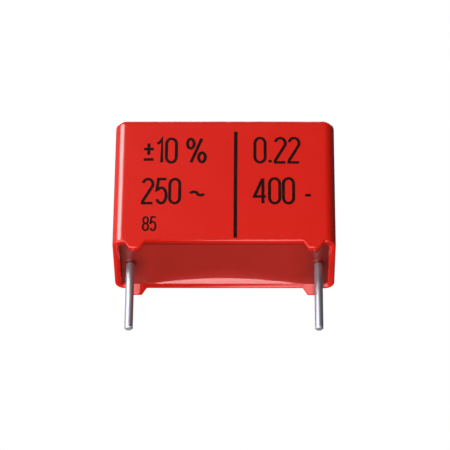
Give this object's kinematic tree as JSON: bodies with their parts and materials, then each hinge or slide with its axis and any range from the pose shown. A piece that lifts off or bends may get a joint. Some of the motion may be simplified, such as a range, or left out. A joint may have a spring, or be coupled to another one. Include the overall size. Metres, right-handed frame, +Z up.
{
  "type": "box film capacitor",
  "caption": "Film capacitor in a red moulded box with small feet, closed by casting resin, with one straight wire near each end for through-hole mounting.",
  "frame": {"origin": "midway between the middles of the two wires, in the plane of the feet, which is the top of the board", "axes": "+Z up from the board to the closed top; the wires point to -Z; +X from the left wire to the right wire; the marked face looks to -Y"},
  "size_m": [0.0264, 0.0104, 0.027],
  "materials": {
    "case": "glossy injection-moulded polyester",
    "resin": "satin casting resin",
    "metallised_film": "rolled metallised polyester film",
    "plain_film": "clear polyester film",
    "sprayed_metal": "dull flame-sprayed zinc",
    "wire": "bright tinned copper"
  },
  "bodies": {
    "root": {"case": "case", "resin_seal": "resin", "film_roll": "metallised_film", "roll_wrap": "plain_film", "end_contact_left": "sprayed_metal", "end_contact_right": "sprayed_metal", "wire_left": "wire", "wire_right": "wire"}
  },
  "joints": []
}
